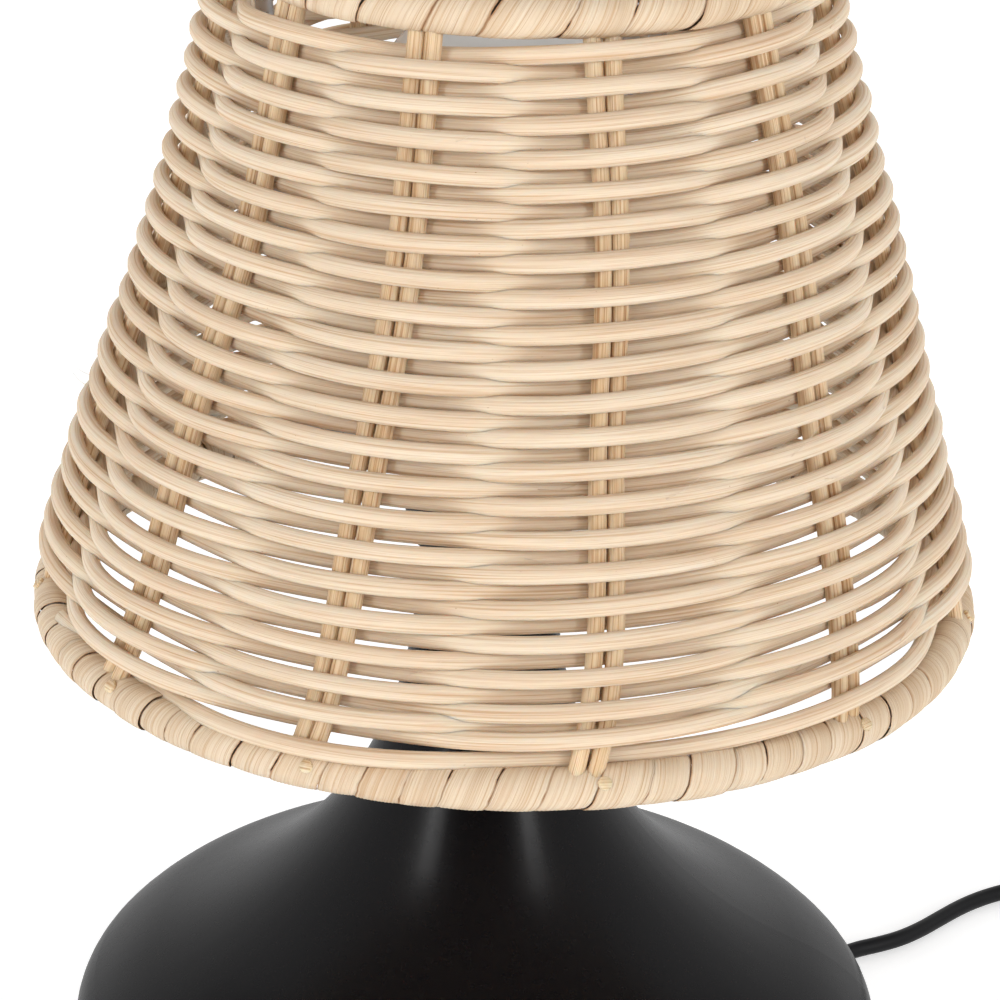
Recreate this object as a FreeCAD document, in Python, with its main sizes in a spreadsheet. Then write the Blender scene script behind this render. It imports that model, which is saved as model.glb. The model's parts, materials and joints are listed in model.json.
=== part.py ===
"""Table lamp with a woven cane shade, in millimetres, +Z up.

The origin is on the axis of the base, on the surface that the lamp stands on. A hollow black gourd
stands on a felt pad; a threaded rod through its neck clamps the plate and the ballast below and
the E27 holder above. The shade hangs on the holder by a fitter ring with three arms. A mains cord
leaves the base low at the back right and carries a rocker switch, a coil and a flat plug.
"""

import FreeCAD, Part
import math
import os
import re

import Sketcher
from FreeCAD import Placement, Rotation, Vector

SIZES = {
    # base: a neck, a concave shoulder, a crown, a flank at the widest place and the curve below it
    "felt_thick": 1.5,
    "neck_radius": 16.7,
    "neck_top": 158,
    "shoulder_height": 152.2,
    "shoulder_radius": 102.2,
    "crown_radius": 48.9,
    "flank_radius": 17.4,
    "under_radius": 36,
    "belly_radius": 98.2,
    "belly_height": 35.6,
    "shell_wall": 1.6,
    "recess_radius": 62,
    "ledge_width": 6,
    "ledge_thick": 3,
    "plate_low": 11,
    "plate_thick": 3,
    "ballast_radius": 50,
    "ballast_thick": 9,
    "ballast_bore": 9,
    # threaded rod with its nut and washer
    "rod_radius": 5,
    "rod_bore": 3.5,
    "rod_low": 6,
    "rod_top": 168,
    "nut_across": 14,
    "nut_thick": 3.4,
    "washer_radius": 10,
    "washer_thick": 1,
    # E27 holder
    "collar_radius": 13,
    "collar_thick": 4,
    "holder_radius": 19.4,
    "holder_wall": 2.2,
    "cap_height": 20,
    "core_low": 173,
    "core_thick": 14,
    "core_radius": 15.4,
    "sleeve_height": 34,
    "sleeve_bore": 15.8,
    "flange_reach": 3.1,
    "flange_low": 186,
    "flange_thick": 2.5,
    "shell_radius": 14.3,
    "shell_thick": 0.5,
    "shell_height": 25,
    "tongue_thick": 1.4,
    "tongue_length": 18,
    "tongue_width": 5,
    "terminal_radius": 1.6,
    "terminal_height": 3,
    "terminal_offset": 6,
    "ring_thick": 8.5,
    "ring_height": 7,
    # bulb
    "bulb_cap_radius": 13.3,
    "bulb_cap_height": 26.5,
    "bulb_cap_wall": 0.4,
    "bulb_low": 188.6,
    "bulb_insulator_height": 1.9,
    "bulb_contact_radius": 4.8,
    "globe_radius": 30,
    "globe_height": 76,
    "glass_wall": 1,
    "throat_radius": 60,
    # cage of the shade
    "cage_shift": 4,
    "cage_bottom": 152,
    "cage_top": 306,
    "cage_bottom_radius": 104.8,
    "cage_top_radius": 63.1,
    "rim_radius": 5.2,
    "rim_wire_radius": 2,
    "stake_radius": 1.9,
    "stake_spacing": 4,
    "stake_pairs": 11,
    "stake_phase": -76,
    "weave_thick": 9,
    "arm_radius": 2,
    "arm_knee": 42,
    "arm_phase": -60,
    "arm_count": 3,
    "fitter_gap": 1.1,
    "fitter_width": 7,
    "fitter_thick": 1.6,
    # mains cord, gland, switch, coil and plug
    "cord_radius": 2.2,
    "cord_height": 6,
    "gland_turn": 43,
    "gland_radius": 3.5,
    "gland_sleeve_radius": 4.2,
    "gland_sleeve_start": 88.4,
    "gland_inner": 57,
    "gland_reach": 106,
    "jacket_end": 24,
    "lead_radius": 1,
    "lead_spacing": 2.4,
    "terminal_spacing": 8,
    "switch_x": 177,
    "switch_y": 134,
    "switch_length": 54,
    "switch_width": 22,
    "switch_height": 14,
    "switch_split": 6.5,
    "switch_wall": 1.8,
    "switch_end": 14,
    "switch_corner": 3,
    "rocker_radius": 8,
    "rocker_width": 10,
    "rocker_pivot": 11.5,
    "rocker_tilt": 7,
    "rocker_rise": 3.8,
    "rocker_drop": 2.5,
    "pivot_radius": 1.5,
    "pivot_reach": 1.2,
    "lug_thick": 2.2,
    "lug_length": 8,
    "lug_drop": 4,
    "switch_screw_radius": 1.4,
    "switch_screw_head": 2.6,
    "switch_screw_inset": 8,
    "switch_screw_bite": 3.5,
    "coil_x": 262,
    "coil_radius": 27,
    "coil_columns": 2,
    "coil_layers": 4,
    "plug_y": 62,
    "plug_length": 35,
    "plug_width": 26,
    "plug_height": 13.7,
    "plug_nose": 18,
    "plug_tail_width": 13,
    "plug_corner": 2.5,
    "pin_radius": 2,
    "pin_length": 19,
    "pin_spacing": 19,
    # clearances
    "fit_gap": 0.1,
    "seat_gap": 0.3,
}

SLOPE = "((cage_bottom_radius - cage_top_radius) / (cage_top - cage_bottom))"
PLATE_TOP = "(plate_low + plate_thick)"
CAP_LOW = "(neck_top + collar_thick)"
SLEEVE_LOW = "(neck_top + collar_thick + cap_height)"
CORE_TOP = "(core_low + core_thick)"
FITTER_LOW = "(flange_low + flange_thick + fit_gap)"
RING_LOW = "(flange_low + flange_thick + 2 * fit_gap + fitter_thick)"
BULB_CAP_LOW = "(bulb_low + bulb_insulator_height)"
BULB_CAP_TOP = "(bulb_low + bulb_insulator_height + bulb_cap_height)"
COIL_OUTER = "(coil_radius + cord_radius * coil_columns)"
COIL_INNER = "(coil_radius - cord_radius * coil_columns)"
PATH_SHARE = 0.45  # of the shorter run beside a bend, taken by the bend's arc

doc = FreeCAD.newDocument("table_lamp")
sheet = doc.addObject("Spreadsheet::Sheet", "Sizes")
nodes = []


def fill_sheet():
    """Writes every driving size as a row of the sheet, with its name as the alias."""
    for row, (alias, value) in enumerate(SIZES.items(), start=1):
        sheet.set(f"A{row}", alias)
        sheet.set(f"B{row}", str(value))
        sheet.setAlias(f"B{row}", alias)
    doc.recompute()


def bound(text):
    """An expression for setExpression, with each size's name pointing at its cell."""
    return re.sub(r"[a-z][a-z_]+", lambda m: f"Sizes.{m.group()}" if m.group() in SIZES else m.group(), text)


def worth(text):
    """The number that an expression over the sizes stands for."""
    return float(sheet.evalExpression(bound(text)))


def keep(piece, label):
    """Names a finished piece; its label is the name of its node."""
    piece.Label = label
    nodes.append(piece)
    return piece


# ---------------------------------------------------------------- general shapes


def origin_plane(body, role):
    return next(f for f in body.Origin.OriginFeatures if f.Role == role)


def new_sketch(body, role, name):
    sketch = body.newObject("Sketcher::SketchObject", name)
    sketch.AttachmentSupport = (origin_plane(body, role), [""])
    sketch.MapMode = "FlatFace"
    return sketch


def dimension(sketch, kind, where, text):
    """Adds a dimension whose value is bound to the sheet."""
    index = sketch.addConstraint(Sketcher.Constraint(kind, *where, worth(text)))
    sketch.setExpression(f"Constraints[{index}]", bound(text))


def hold(sketch, geometry, end, x, y):
    """Fixes one end of a line or arc at (x, y), given as expressions."""
    for kind, axis, text in (("DistanceX", -2, x), ("DistanceY", -1, y)):
        if text == "0":
            sketch.addConstraint(Sketcher.Constraint("PointOnObject", geometry, end, axis))
        else:
            dimension(sketch, kind, (-1, 1, geometry, end), text)


def arc_between(start, end, radius):
    """The minor arc from start to end with its centre on the left (radius > 0) or on the right."""
    across = end - start
    side = Vector(-across.y, across.x, 0).normalize() * math.copysign(1, radius)
    centre = (start + end) * 0.5 + side * math.sqrt(max(radius**2 - (across.Length / 2) ** 2, 0))
    first, last = (start, end) if radius > 0 else (end, start)
    angles = [math.atan2(p.y - centre.y, p.x - centre.x) for p in (first, last)]
    if angles[1] < angles[0]:
        angles[1] += 2 * math.pi
    return Part.ArcOfCircle(Part.Circle(centre, Vector(0, 0, 1), abs(radius)), *angles)


def outline(sketch, corners):
    """A closed outline. Each corner is (x, y), or (x, y, radius, side) for an arc to the next one."""
    places = [Vector(worth(c[0]), worth(c[1]), 0) for c in corners]
    ends = []
    for k, corner in enumerate(corners):
        start, end = places[k], places[(k + 1) % len(places)]
        if len(corner) == 2:
            sketch.addGeometry(Part.LineSegment(start, end))
            ends.append((1, 2))
        else:
            sketch.addGeometry(arc_between(start, end, corner[3] * worth(corner[2])))
            ends.append((1, 2) if corner[3] > 0 else (2, 1))
    for k, corner in enumerate(corners):
        after = (k + 1) % len(corners)
        sketch.addConstraint(Sketcher.Constraint("Coincident", k, ends[k][1], after, ends[after][0]))
        hold(sketch, k, ends[k][0], corner[0], corner[1])
        if len(corner) == 4:
            dimension(sketch, "Radius", (k,), corner[2])


def place(piece, x="0", y="0", z="0"):
    for axis, text in (("x", x), ("y", y), ("z", z)):
        piece.setExpression(f"Placement.Base.{axis}", bound(text))
    return piece


def revolve(body, sketch):
    turn = body.newObject("PartDesign::Revolution", f"{body.Name}_turn")
    turn.Profile = sketch
    turn.ReferenceAxis = (sketch, ["V_Axis"])
    turn.Angle = 360
    body.Tip = turn
    return turn


def turned(name, corners):
    """A turned piece: an outline of (radius, height) corners turned about its own vertical axis."""
    body = doc.addObject("PartDesign::Body", name)
    sketch = new_sketch(body, "XZ_Plane", f"{name}_outline")
    outline(sketch, corners)
    revolve(body, sketch)
    return body


def ring(name, outer, inner, low, high):
    """A turned ring of rectangular section, or a disc where inner is "0"."""
    return turned(name, [(inner, low), (outer, low), (outer, high), (inner, high)])


def primitive(kind, name, **sizes):
    piece = doc.addObject(f"Part::{kind}", name)
    for size, text in sizes.items():
        piece.setExpression(size, bound(text))
    return piece


def box(name, x, y, z, length, width, height):
    return place(primitive("Box", name, Length=length, Width=width, Height=height), x, y, z)


def less(name, base, *tools):
    """base with the tools cut away."""
    piece = base
    for number, tool in enumerate(tools, start=1):
        cut = doc.addObject("Part::Cut", name if tool is tools[-1] else f"{name}_step{number}")
        cut.Base = piece
        cut.Tool = tool
        piece = cut
    return piece


def joined(name, *pieces):
    fuse = doc.addObject("Part::MultiFuse", name)
    fuse.Shapes = list(pieces)
    return fuse


def together(name, *pieces):
    """Separate solids that share a node."""
    group = doc.addObject("Part::Compound", name)
    group.Links = list(pieces)
    return group


def feature(name, shape):
    piece = doc.addObject("Part::Feature", name)
    piece.Shape = shape
    return piece


def polar(radius, degrees, z):
    turn = math.radians(degrees)
    return Vector(radius * math.cos(turn), radius * math.sin(turn), z)


def smooth_path(points):
    """A wire of straight runs joined by tangent arcs as large as the runs allow, and the radii."""
    edges, radii, at = [], [], points[0]
    for before, corner, after in zip(points, points[1:], points[2:]):
        back, on = before - corner, after - corner
        tangent = PATH_SHARE * min(back.Length, on.Length)
        back.normalize()
        on.normalize()
        half_turn = (math.pi - back.getAngle(on)) / 2
        radius = tangent / math.tan(half_turn)
        middle = (back + on).normalize() * (radius / math.cos(half_turn) - radius)
        start, end = corner + back * tangent, corner + on * tangent
        edges += [Part.LineSegment(at, start).toShape(), Part.Arc(start, corner + middle, end).toShape()]
        radii.append(radius)
        at = end
    edges.append(Part.LineSegment(at, points[-1]).toShape())
    return Part.Wire(edges), radii


def tube(name, points, radius):
    """A round rod or cord along a path, with its volume compared with section times length."""
    path, radii = smooth_path(points)
    section = Part.Wire(Part.makeCircle(radius, points[0], points[1] - points[0]))
    shape = path.makePipeShell([section], True, False)
    share = shape.Volume / (math.pi * radius**2 * path.Length)
    if radii:
        print(f"{name}: radii {[round(r, 1) for r in radii]}, length {path.Length:.1f}, volume {share:.4f}")
    if abs(share - 1) > 0.01:
        raise ValueError(f"{name}: the swept volume is {share:.3f} of what it should be")
    return shape


# ---------------------------------------------------------------- base


def shell_arcs():
    """The centres of the outer arcs of the shell, from the shoulder down, near the solved sketch."""
    shoulder, crown = worth("shoulder_radius"), worth("crown_radius")
    flank, under = worth("flank_radius"), worth("under_radius")
    belly, height = worth("belly_radius"), worth("belly_height")
    first = Vector(worth("neck_radius") + shoulder, worth("shoulder_height"), 0)
    third = Vector(belly - flank, height, 0)
    apart = third - first
    along = ((shoulder + crown) ** 2 - (crown - flank) ** 2 + apart.Length**2) / (2 * apart.Length)
    off = math.sqrt(max((shoulder + crown) ** 2 - along**2, 0))
    apart.normalize()
    second = first + apart * along + Vector(apart.y, -apart.x, 0) * off
    return [first, second, third, Vector(belly - under, height, 0)]


def angle_to(centre, point):
    return math.atan2(point.y - centre.y, point.x - centre.x) % (2 * math.pi)


def base_shell():
    """One wall thickness all round: outer arcs tangent to each other, inner arcs about the same centres."""
    body = doc.addObject("PartDesign::Body", "shell_turned")
    sketch = new_sketch(body, "XZ_Plane", "shell_outline")
    centres = shell_arcs()
    shoulder, crown, flank, under = (worth(f"{n}_radius") for n in ("shoulder", "crown", "flank", "under"))
    wall, foot, top = worth("shell_wall"), worth("felt_thick"), worth("neck_top")
    floor = worth(f"{PLATE_TOP} + ledge_thick")
    low_turn = angle_to(centres[0], centres[1])
    high_turn = angle_to(centres[1], centres[2]) % math.pi
    flank_turn = angle_to(centres[1], centres[2])
    neck = worth("neck_radius")

    def arc(centre, radius, start, end):
        return Part.ArcOfCircle(Part.Circle(centre, Vector(0, 0, 1), radius), start, end)

    def chain(step, bottom):
        """The shoulder, crown, flank and under arcs, moved inwards by step and ended at a height."""
        return [
            arc(centres[0], shoulder + step, math.pi, low_turn),
            arc(centres[1], crown - step, flank_turn, low_turn - math.pi),
            arc(centres[2], flank - step, 0, high_turn),
            arc(centres[3], under - step, -math.asin((centres[3].y - bottom) / (under - step)), 0),
        ]

    def line(x0, y0, x1, y1):
        return Part.LineSegment(Vector(x0, y0, 0), Vector(x1, y1, 0))

    bore = worth("rod_radius + fit_gap")
    recess, ledge = worth("recess_radius"), worth("recess_radius - ledge_width")
    outer, inner = chain(0, foot), chain(wall, floor)
    heel, inner_heel = outer[3].StartPoint, inner[3].StartPoint
    plate_top = worth(PLATE_TOP)
    geometry = [
        line(neck, top, neck, centres[0].y),  # 0, the neck
        *outer,  # 1 to 4
        line(heel.x, foot, recess, foot),  # 5
        line(recess, foot, recess, plate_top),
        line(recess, plate_top, ledge, plate_top),
        line(ledge, plate_top, ledge, floor),
        line(ledge, floor, inner_heel.x, floor),  # 9
        *reversed(inner),  # 10 to 13
        line(neck - wall, centres[0].y, neck - wall, top - wall),  # 14
        line(neck - wall, top - wall, bore, top - wall),
        line(bore, top - wall, bore, top),
        line(bore, top, neck, top),  # 17
    ]
    sketch.addGeometry(geometry, False)

    def tie(kind, *where):
        sketch.addConstraint(Sketcher.Constraint(kind, *where))

    for joint in ((0, 2, 1, 1), (1, 2, 2, 2), (2, 1, 3, 2), (3, 1, 4, 2)):
        tie("Tangent", *joint)
    for joint in ((10, 2, 11, 1), (11, 2, 12, 1), (12, 2, 13, 2), (13, 1, 14, 1)):
        tie("Tangent", *joint)
    for joint in ((4, 1, 5, 1), (5, 2, 6, 1), (6, 2, 7, 1), (7, 2, 8, 1), (8, 2, 9, 1), (9, 2, 10, 1)):
        tie("Coincident", *joint)
    for joint in ((14, 2, 15, 1), (15, 2, 16, 1), (16, 2, 17, 1), (17, 2, 0, 1)):
        tie("Coincident", *joint)
    for upright in (0, 6, 8, 14, 16):
        tie("Vertical", upright)
    for level in (5, 7, 9, 15, 17):
        tie("Horizontal", level)
    for outside, inside in ((1, 13), (2, 12), (3, 11), (4, 10)):
        tie("Coincident", outside, 3, inside, 3)
    tie("Horizontal", 3, 3, 3, 1)
    for arc_index, alias in ((1, "shoulder"), (2, "crown"), (3, "flank"), (4, "under")):
        dimension(sketch, "Radius", (arc_index,), f"{alias}_radius")
    dimension(sketch, "Radius", (11,), "flank_radius - shell_wall")
    dimension(sketch, "DistanceX", (-1, 1, 0, 1), "neck_radius")
    dimension(sketch, "DistanceY", (-1, 1, 0, 1), "neck_top")
    dimension(sketch, "DistanceY", (-1, 1, 1, 3), "shoulder_height")
    dimension(sketch, "DistanceX", (-1, 1, 3, 1), "belly_radius")
    dimension(sketch, "DistanceY", (-1, 1, 3, 1), "belly_height")
    dimension(sketch, "DistanceY", (-1, 1, 5, 1), "felt_thick")
    dimension(sketch, "DistanceX", (-1, 1, 6, 1), "recess_radius")
    dimension(sketch, "DistanceY", (-1, 1, 6, 2), PLATE_TOP)
    dimension(sketch, "DistanceX", (-1, 1, 8, 1), "recess_radius - ledge_width")
    dimension(sketch, "DistanceY", (-1, 1, 8, 2), f"{PLATE_TOP} + ledge_thick")
    dimension(sketch, "DistanceY", (-1, 1, 15, 1), "neck_top - shell_wall")
    dimension(sketch, "DistanceX", (-1, 1, 16, 1), "rod_radius + fit_gap")
    revolve(body, sketch)
    hole = primitive("Cylinder", "gland_hole", Radius="gland_radius + fit_gap", Height="belly_radius")
    radial(hole)
    keep(less("shell_with_gland_hole", body, hole), "base_shell")


def radial(piece, start="0"):
    """Lays an upright round piece along the cord's way out of the base, its foot at radius start."""
    turn = Rotation(Vector(0, 0, 1), worth("gland_turn")) * Rotation(Vector(0, 1, 0), 90)
    piece.Placement = Placement(polar(worth(start), worth("gland_turn"), worth("cord_height")), turn)
    place(piece, f"({start}) * cos(gland_turn * 1deg)", f"({start}) * sin(gland_turn * 1deg)", "cord_height")
    return piece


def base_inside():
    """The felt, the plate in its recess, the ballast on it, and the rod with its nut and washer."""
    pad = "(belly_radius - under_radius + sqrt(under_radius^2 - (belly_height - felt_thick)^2) - 1.5)"
    keep(ring("felt", pad, "0", "0", "felt_thick"), "felt_pad")
    bore = "rod_radius + fit_gap"
    keep(ring("plate", "recess_radius - seat_gap", bore, "plate_low", PLATE_TOP), "base_plate")
    high = f"{PLATE_TOP} + ballast_thick"
    keep(ring("weight", "ballast_radius", "ballast_bore", PLATE_TOP, high), "ballast")
    keep(ring("rod", "rod_radius", "rod_bore", "rod_low", "rod_top"), "threaded_rod")
    keep(ring("washer", "washer_radius", bore, "plate_low - washer_thick", "plate_low"), "bottom_washer")
    nut_low = "plate_low - washer_thick - nut_thick"
    prism = primitive("Prism", "nut_prism", Circumradius="nut_across / sqrt(3)", Height="nut_thick")
    prism.Polygon = 6
    place(prism, z=nut_low)
    thread = primitive("Cylinder", "nut_thread", Radius=bore, Height="nut_thick + 2")
    place(thread, z=f"{nut_low} - 1")
    keep(less("nut", prism, thread), "bottom_nut")
    keep(ring("collar", "collar_radius", bore, "neck_top", CAP_LOW), "neck_collar")


def cord_entry():
    """The gland in the foot of the shell, the end of the cord in it and the two leads up the rod."""
    barrel = radial(
        primitive("Cylinder", "gland_barrel", Radius="gland_radius", Height="gland_reach - gland_inner"),
        "gland_inner",
    )
    sleeve = radial(
        primitive(
            "Cone",
            "gland_sleeve",
            Radius1="gland_sleeve_radius",
            Radius2="gland_radius",
            Height="gland_reach - gland_sleeve_start",
        ),
        "gland_sleeve_start",
    )
    bore = radial(
        primitive("Cylinder", "gland_bore", Radius="cord_radius + fit_gap / 2", Height="gland_reach"), "0"
    )
    keep(less("gland", joined("gland_outside", barrel, sleeve), bore), "cord_gland")
    inner = primitive("Cylinder", "cord_inside", Radius="cord_radius", Height="gland_reach - jacket_end")
    keep(radial(inner, "jacket_end"), "cord_in_base")
    keep(together("leads", *(feature(f"lead_{k}", lead(side)) for k, side in enumerate((-1, 1), start=1))), "lead_wires")


def lead(side):
    """One insulated wire from the end of the jacket, under the rod, up its bore to a terminal."""
    turn = worth("gland_turn")
    across = polar(1, turn + 90, 0) * side
    near, far = worth("lead_spacing") / 2, worth("terminal_spacing") / 2
    low = worth("felt_thick + lead_radius + fit_gap * 6")
    points = [
        polar(worth("jacket_end - 0.2"), turn, worth("cord_height")) + across * (near - 0.1),
        polar(14, turn, low) + across * near,
        Vector(0, 0, low) + across * near,
        Vector(0, 0, worth("rod_top + 1")) + across * near,
        Vector(0, 0, worth("core_low") - 0.2) + across * far,
    ]
    return tube(f"lead_wire_{side:+d}", points, worth("lead_radius"))


# ---------------------------------------------------------------- holder and bulb


def holder():
    """Cap on the rod, insulating core, threaded sleeve with its flange, brass screw shell and contact."""
    bore = "rod_radius + fit_gap"
    inside = "holder_radius - holder_wall"
    cap = turned(
        "cap",
        [
            (bore, CAP_LOW),
            ("holder_radius - 4", CAP_LOW),
            ("holder_radius", f"{CAP_LOW} + 4"),
            ("holder_radius", SLEEVE_LOW),
            (inside, SLEEVE_LOW),
            (inside, f"{CAP_LOW} + holder_wall * 2"),
            (bore, f"{CAP_LOW} + holder_wall * 2"),
        ],
    )
    keep(cap, "holder_cap")
    keep(ring("core", "core_radius", "0", "core_low", CORE_TOP), "holder_core")
    sleeve_top = f"{SLEEVE_LOW} + sleeve_height"
    sleeve = turned(
        "sleeve",
        [
            ("sleeve_bore", SLEEVE_LOW),
            ("holder_radius", SLEEVE_LOW),
            ("holder_radius", "flange_low"),
            ("holder_radius + flange_reach", "flange_low"),
            ("holder_radius + flange_reach", "flange_low + flange_thick"),
            ("holder_radius", "flange_low + flange_thick"),
            ("holder_radius", sleeve_top),
            ("sleeve_bore", sleeve_top),
        ],
    )
    keep(sleeve, "holder_sleeve")
    shell_top = f"{CORE_TOP} + shell_height"
    keep(ring("contact_shell", "shell_radius", "shell_radius - shell_thick", CORE_TOP, shell_top), "screw_shell")
    tongue = box(
        "tongue", "-tongue_length / 2", "-tongue_width / 2", CORE_TOP, "tongue_length", "tongue_width", "tongue_thick"
    )
    keep(tongue, "centre_contact")
    screws = []
    for side in ("-", ""):
        screw = primitive("Cylinder", "terminal", Radius="terminal_radius", Height="terminal_height")
        screws.append(place(screw, f"{side}terminal_offset", "terminal_offset", "core_low - terminal_height"))
    keep(together("terminals", *screws), "terminal_screws")
    bore = "holder_radius + fit_gap"
    knurl = ring("knurled", f"{bore} + ring_thick", bore, RING_LOW, f"{RING_LOW} + ring_height")
    keep(knurl, "shade_ring")


def bulb():
    """Opal globe on a smooth cap of E27 size, with the insulator and the contact below it."""
    inside = "bulb_cap_radius - bulb_cap_wall"
    centre = f"({BULB_CAP_TOP} + globe_height - globe_radius)"
    throat, throat_inner = "0.82 * globe_radius", "0.82 * (globe_radius - glass_wall)"
    below = "sqrt(1 - 0.82^2)"
    glass = "(bulb_cap_radius - bulb_cap_wall - fit_gap)"
    globe = turned(
        "globe",
        [
            (f"{glass} - glass_wall", f"{BULB_CAP_TOP} - 5"),
            (glass, f"{BULB_CAP_TOP} - 5"),
            (glass, BULB_CAP_TOP, "throat_radius", -1),
            (throat, f"{centre} - globe_radius * {below}", "globe_radius", 1),
            ("0", f"{centre} + globe_radius"),
            ("0", f"{centre} + globe_radius - glass_wall", "globe_radius - glass_wall", -1),
            (throat_inner, f"{centre} - (globe_radius - glass_wall) * {below}", "throat_radius + glass_wall", 1),
            (f"{glass} - glass_wall", BULB_CAP_TOP),
        ],
    )
    keep(globe, "bulb_globe")
    keep(ring("bulb_shell", "bulb_cap_radius", inside, BULB_CAP_LOW, BULB_CAP_TOP), "bulb_cap")
    insulator = turned(
        "insulator",
        [
            ("0", "bulb_low + 0.4"),
            ("bulb_contact_radius + 1", "bulb_low + 0.4"),
            ("bulb_cap_radius - 1", BULB_CAP_LOW),
            ("0", BULB_CAP_LOW),
        ],
    )
    keep(insulator, "bulb_insulator")
    keep(ring("contact", "bulb_contact_radius", "0", "bulb_low", "bulb_low + 0.4"), "bulb_contact")


# ---------------------------------------------------------------- shade


def cage_radius(z):
    """The radius of the cage's centre line at a height, as an expression."""
    return f"(cage_bottom_radius - (({z}) - cage_bottom) * {SLOPE})"


def hoop(name, height, radius, rim_name, wire_name):
    """A rim of the cage: a wire hoop and the peel wound round it."""
    wire = primitive("Torus", f"{name}_wire", Radius1=radius, Radius2="rim_wire_radius")
    wrap = primitive("Torus", f"{name}_wrap", Radius1=radius, Radius2="rim_radius")
    core = primitive("Torus", f"{name}_core", Radius1=radius, Radius2="rim_wire_radius + fit_gap")
    for piece in (wire, wrap, core):
        place(piece, "cage_shift", "0", height)
    keep(wire, wire_name)
    keep(less(f"{name}_peel", wrap, core), rim_name)


def stake_lines():
    """The foot, direction and length of each cane of the cage, in pairs round its axis."""
    pairs, spacing = int(worth("stake_pairs")), worth("stake_spacing")
    low, high = worth("cage_bottom"), worth("cage_top")
    end = worth("rim_radius + seat_gap")
    for pair in range(pairs):
        degrees = worth("stake_phase") + 360 * pair / pairs
        for side in (-0.5, 0.5):
            aside = polar(spacing * side, degrees + 90, 0) + Vector(worth("cage_shift"), 0, 0)
            foot = polar(worth("cage_bottom_radius"), degrees, low) + aside
            head = polar(worth("cage_top_radius"), degrees, high) + aside
            run = head - foot
            length = run.Length
            run.normalize()
            yield foot + run * end, run, length - 2 * end


def cage():
    """The woven wall, the pairs of canes that run through it and the two wound rims."""
    half = "weave_thick / 2"
    low, high = "(cage_bottom + rim_radius + seat_gap)", "(cage_top - rim_radius - seat_gap)"
    wall = turned(
        "wall",
        [
            (f"{cage_radius(low)} - {half}", low),
            (f"{cage_radius(low)} + {half}", low),
            (f"{cage_radius(high)} + {half}", high),
            (f"{cage_radius(high)} - {half}", high),
        ],
    )
    place(wall, "cage_shift")
    radius = worth("stake_radius")
    canes = [Part.makeCylinder(radius, length, foot, run) for foot, run, length in stake_lines()]
    tunnels = [
        Part.makeCylinder(radius + worth("seat_gap"), length + 6, foot - run * 3, run)
        for foot, run, length in stake_lines()
    ]
    way = feature("cane_tunnels", tunnels[0].multiFuse(tunnels[1:]))
    keep(less("wall_with_tunnels", wall, way), "woven_wall")
    keep(feature("canes", Part.makeCompound(canes)), "stakes")
    hoop("lower", "cage_bottom", "cage_bottom_radius", "bottom_rim_wrap", "bottom_ring_wire")
    hoop("upper", "cage_top", "cage_top_radius", "top_rim_wrap", "top_ring_wire")


def fitter():
    """The flat ring that the holder clamps, and three bent arms from under it to the top rim."""
    bore = "holder_radius + fitter_gap"
    keep(ring("fitter", f"{bore} + fitter_width", bore, FITTER_LOW, f"{FITTER_LOW} + fitter_thick"), "fitter_ring")
    radius = worth("arm_radius")
    level = worth(FITTER_LOW) - radius - worth("fit_gap") / 2
    aside = 0.4 * worth("weave_thick")
    drop = math.sqrt(worth("rim_radius + seat_gap") ** 2 - aside**2)
    shift = Vector(worth("cage_shift"), 0, 0)
    arms = []
    count = int(worth("arm_count"))
    for number in range(count):
        degrees = worth("arm_phase") + 360 * number / count
        head = polar(worth("cage_top_radius") - aside - radius, degrees, worth("cage_top") - drop) + shift
        heading = math.degrees(math.atan2(head.y, head.x))
        points = [
            polar(worth("holder_radius + flange_reach") + 1, heading, level),
            polar(worth("arm_knee"), heading, level),
            head,
        ]
        arms.append(feature(f"arm_{number + 1}", arm(points, radius)))
    keep(together("arms", *arms), "fitter_arms")


def arm(points, radius):
    """A rod bent once, at a radius of three diameters."""
    foot, knee, head = points
    back, on = (foot - knee).normalize(), (head - knee).normalize()
    half_turn = (math.pi - back.getAngle(on)) / 2
    tangent = 6 * radius * math.tan(half_turn)
    bend = 6 * radius
    middle = knee + (back + on).normalize() * (bend / math.cos(half_turn) - bend)
    start, end = knee + back * tangent, knee + on * tangent
    path = Part.Wire(
        [
            Part.LineSegment(foot, start).toShape(),
            Part.Arc(start, middle, end).toShape(),
            Part.LineSegment(end, head).toShape(),
        ]
    )
    section = Part.Wire(Part.makeCircle(radius, foot, knee - foot))
    return path.makePipeShell([section], True, False)


# ---------------------------------------------------------------- mains cord


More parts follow.
